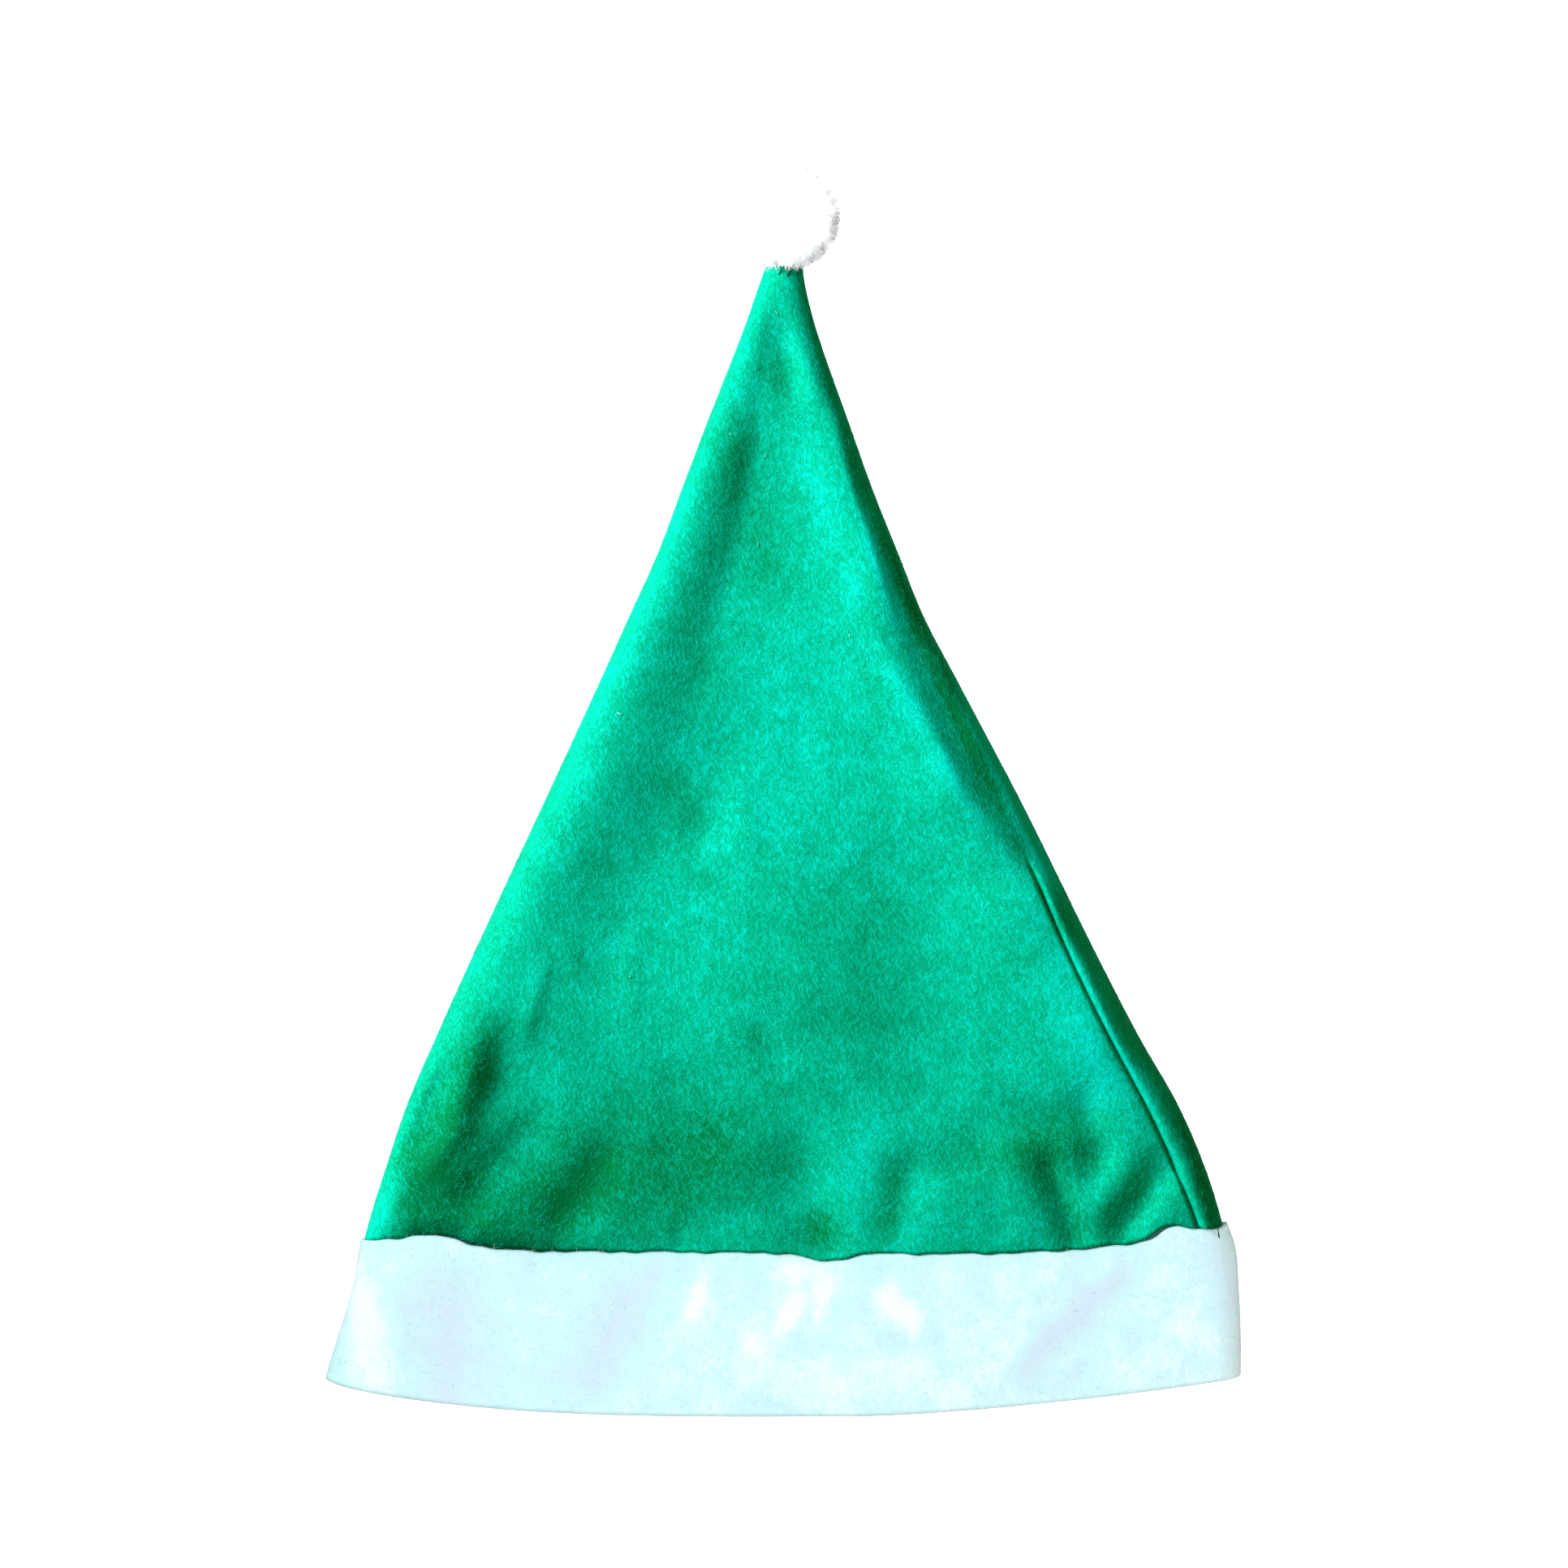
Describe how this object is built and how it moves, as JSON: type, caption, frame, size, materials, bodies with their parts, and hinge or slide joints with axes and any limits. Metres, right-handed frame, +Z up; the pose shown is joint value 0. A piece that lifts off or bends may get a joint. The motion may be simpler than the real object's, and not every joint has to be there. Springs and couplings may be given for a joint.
{
  "type": "santa hat",
  "caption": "Soft felt cone hat lying on its back, with a pale felt band sewn round its open mouth, a side seam, soft folds and a pompom on its tip.",
  "frame": {"origin": "on the floor under the middle of the lying hat", "axes": "+Z up from the floor, +Y from the mouth to the tip, +X to the right of a viewer who looks down with the tip away"},
  "size_m": [0.29, 0.3937, 0.0328],
  "materials": {
    "green_felt": "matt felt with short loose fibres",
    "white_felt": "matt felt",
    "white_pile": "dense soft pile"
  },
  "bodies": {
    "root": {"crown": "green_felt", "band": "white_felt", "pompom": "white_pile"}
  },
  "joints": []
}
